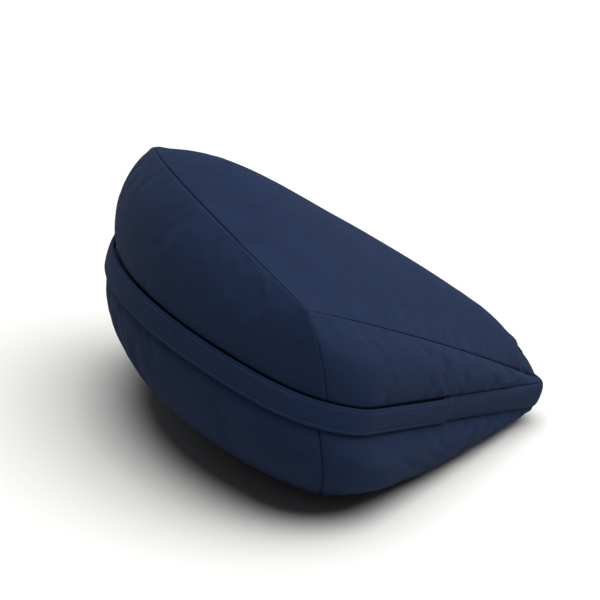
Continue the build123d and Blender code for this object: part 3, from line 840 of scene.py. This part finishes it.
def stitches(name, centres, along, lengths, radius=THREAD, material="seam_thread", replaced=()):
    """Short lengths of thread, each a bead with rounded ends."""
    centres = np.array(centres)
    along = np.array(along)
    along = along / np.linalg.norm(along, axis=1, keepdims=True)
    helper = np.tile(np.array(NO_THREAD_WAY), (len(centres), 1))
    first = np.cross(along, helper)
    first = first / np.linalg.norm(first, axis=1, keepdims=True)
    second = np.cross(along, first)
    stations = [(-0.5, 0.25), (-0.42, 0.75), (-0.2, 1.0), (0.2, 1.0), (0.42, 0.75), (0.5, 0.25)]
    sides = 6
    angles = 2 * pi * np.arange(sides) / sides
    rings = []
    for reach, width in stations:
        middle = centres + along * (reach * np.asarray(lengths))[:, None]
        ring = [middle + radius * width * (cos(a) * first + sin(a) * second) for a in angles]
        rings.append(np.stack(ring, axis=1))
    points = np.stack(rings, axis=1)
    per = len(stations) * sides
    index = np.arange(per).reshape(len(stations), sides)
    a, b = index[:-1], index[1:]
    round_cells = np.stack([a, np.roll(a, -1, 1), np.roll(b, -1, 1), b], axis=2).reshape(-1, 4)
    cells = [list(cell) for cell in round_cells] + [list(index[0][::-1]), list(index[-1])]
    faces = [[per * k + i for i in cell] for k in range(len(centres)) for cell in cells]
    piece(name, points.reshape(-1, 3), faces, material, replaced)


def band_stitches(name, n, h, begin, end):
    spots = np.arange(begin + STITCH_PITCH, end - STITCH_PITCH / 2, STITCH_PITCH)
    centres, directions = [], []
    for place in spots:
        spot, out, along = band_frame(place)
        centres.append(spot + n * out + h * BAND_UP)
        directions.append(along)
    stitches(name, centres, directions, np.full(len(spots), STITCH_LENGTH))


def make_threads(surfaces):
    end = SIDE_AT + FLAP_END
    band_stitches("flap_topstitching", TOPSTITCH_N, TOPSTITCH_H, -end, end)
    band_stitches("root_topstitching", ROOT_STITCH_N, ROOT_STITCH_H, -end, end)
    for name, side in (("right", 1), ("left", -1)):
        spot, out, _ = band_frame(side * (end - END_ROW_INSET))
        heights = np.arange(-BAND_HALF_HEIGHT + END_ROW_MARGIN_LOW,
                            BAND_HALF_HEIGHT - END_ROW_MARGIN_HIGH, STITCH_PITCH)
        centres = [spot + (FLAP_FACE + END_ROW_PROUD - END_ROW_BOW * h ** 2) * out + h * BAND_UP
                   for h in heights]
        stitches("flap_end_stitching_" + name, centres, [BAND_UP] * len(heights),
                 np.full(len(heights), STITCH_LENGTH))
    for name, index in (("right", 0), ("left", -1)):
        cross_stitches("corner_stitching_" + name, surfaces["back_upper_panel"][index])


def cross_stitches(name, seam):
    """Needle stitches that show across a seam pulled tight."""
    steps = np.concatenate([[0], np.cumsum(np.linalg.norm(np.diff(seam, axis=0), axis=1))])
    spots = np.arange(NEEDLE_START, steps[-1] - NEEDLE_STOP, NEEDLE_PITCH)
    line = np.stack([np.interp(spots, steps, seam[:, k]) for k in range(3)], axis=1)
    ahead = np.stack([np.interp(spots + LOOK_AHEAD, steps, seam[:, k]) for k in range(3)], axis=1)
    ahead = ahead - line
    away = line - CORE
    away = away / np.linalg.norm(away, axis=1, keepdims=True)
    across = np.cross(ahead, away)
    across = across / np.linalg.norm(across, axis=1, keepdims=True)
    stitches(name, line + NEEDLE_PROUD * away, across + NEEDLE_LEAN * ahead,
             np.full(len(spots), NEEDLE_LENGTH))


# ---- zippers -------------------------------------------------------------------------------------
TOOTH_PITCH = 1.6
COIL_SIZE = 2.0
COIL_SPLIT = 1.0
COIL_THREAD = 0.62
COIL_INSET = 1                      # the rows stop this short of the zipper's ends
COVER_ZIPPER_N = -0.9
COVER_ZIPPER_H = 6.5
COVER_ZIPPER_END = 140.0
LINER_ZIPPER_N = -6.8
LINER_ZIPPER_START = 50.0
LINER_ZIPPER_LENGTH = 260.0


def coil_teeth(name, n, h, spots, side, replaced):
    """One row of nylon coil loops, each a short bead across the tape's edge."""
    centres, directions = [], []
    for place in spots:
        spot, out, _ = band_frame(place)
        middle = h + side * (COIL_SPLIT / 2 + COIL_SIZE / 2)
        centres.append(spot + n * out + middle * BAND_UP)
        directions.append(BAND_UP)
    stitches(name, centres, directions, np.full(len(spots), COIL_SIZE), radius=COIL_THREAD,
             material="zipper_coil", replaced=replaced)


def make_zippers():
    end = SIDE_AT + COVER_ZIPPER_END
    start = SIDE_AT + LINER_ZIPPER_START
    for name, side in (("upper", 1), ("lower", -1)):
        coil_teeth("cover_zipper_teeth_" + name, COVER_ZIPPER_N, COVER_ZIPPER_H,
                   np.arange(-end + COIL_INSET, end - COIL_INSET, TOOTH_PITCH),
                   side, ["cover_zipper_coil_" + name])
        coil_teeth("liner_zipper_teeth_" + name, LINER_ZIPPER_N, 0.0,
                   np.arange(start + COIL_INSET, start + LINER_ZIPPER_LENGTH - COIL_INSET, TOOTH_PITCH),
                   side, ["liner_zipper_coil_" + name])
    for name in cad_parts:
        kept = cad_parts[name]
        if "tape" in name or "stops" in name or "slider" in name:
            slot = "zipper_tape" if "tape" in name else "zipper_metal"
            kept.data.materials.clear()
            kept.data.materials.append(MATERIALS[slot])


# ---- the bead-filled liner -----------------------------------------------------------------------
INNER_LONG = 44                     # points along each inner grid's sides
INNER_SHORT = 14
INNER_WALL = 4
INNER_LUMP = 0.3
INNER_LUMP_SIZE = 45
WELD_DISTANCE = 0.0003


def inner_half(half, depth, seed):
    """One half of an inner layer as grids at a depth, down to the middle of the band."""
    upper = half is UPPER
    face = "top_panel" if upper else "bottom_panel"
    ending = "_upper_panel" if upper else "_lower_panel"
    long_steps = np.linspace(0, 1, INNER_LONG)
    short_steps = np.linspace(0, 1, INNER_SHORT)
    wall_steps = np.linspace(0.5, 1, INNER_WALL) if upper else np.linspace(0, 0.5, INNER_WALL)
    parts = [grid(PANELS[face], long_steps, long_steps)]
    parts += [grid(PANELS[side + ending], long_steps, short_steps)
              for side in ("back", "right", "left")]
    parts += [grid(wall, long_steps, wall_steps) for wall in WALLS.values()]
    shaped = []
    for part in parts:
        lumps = value_noise(part[..., 0] / INNER_LUMP_SIZE,
                            (part[..., 1] + part[..., 2]) / INNER_LUMP_SIZE, seed)
        shaped.append(layer(part, depth + INNER_LUMP * (1 + lumps[..., None])))
    return shaped


def joined(parts):
    points, faces, count = [], [], 0
    for part in parts:
        flat = part.reshape(-1, 3)
        cells = faces_out(flat, grid_faces(part.shape[0], part.shape[1]))
        faces.append(cells + count)
        points.append(flat)
        count += len(flat)
    return np.concatenate(points), np.concatenate(faces)


def make_inside():
    for name, half, seed in (("liner_upper", UPPER, 31), ("liner_lower", LOWER, 32)):
        points, faces = joined(inner_half(half, LINER_DEPTH, seed))
        made = piece("sewn_" + name, points, faces, "liner_cotton", replaced=[name])
        recalculate(made, merge=WELD_DISTANCE)
        thick = made.modifiers.new("cloth thickness", "SOLIDIFY")
        thick.thickness = CLOTH * MM
        thick.offset = -1
    points, faces = joined(inner_half(UPPER, FILL_DEPTH, 33) + inner_half(LOWER, FILL_DEPTH, 33))
    made = piece("bead_fill", points, faces, "beads", replaced=["bead_filling"])
    recalculate(made, merge=WELD_DISTANCE)


make_camera()
make_studio()
cover = make_cover()
make_band()
make_zipper_tabs()
make_threads(cover)
make_zippers()
make_inside()
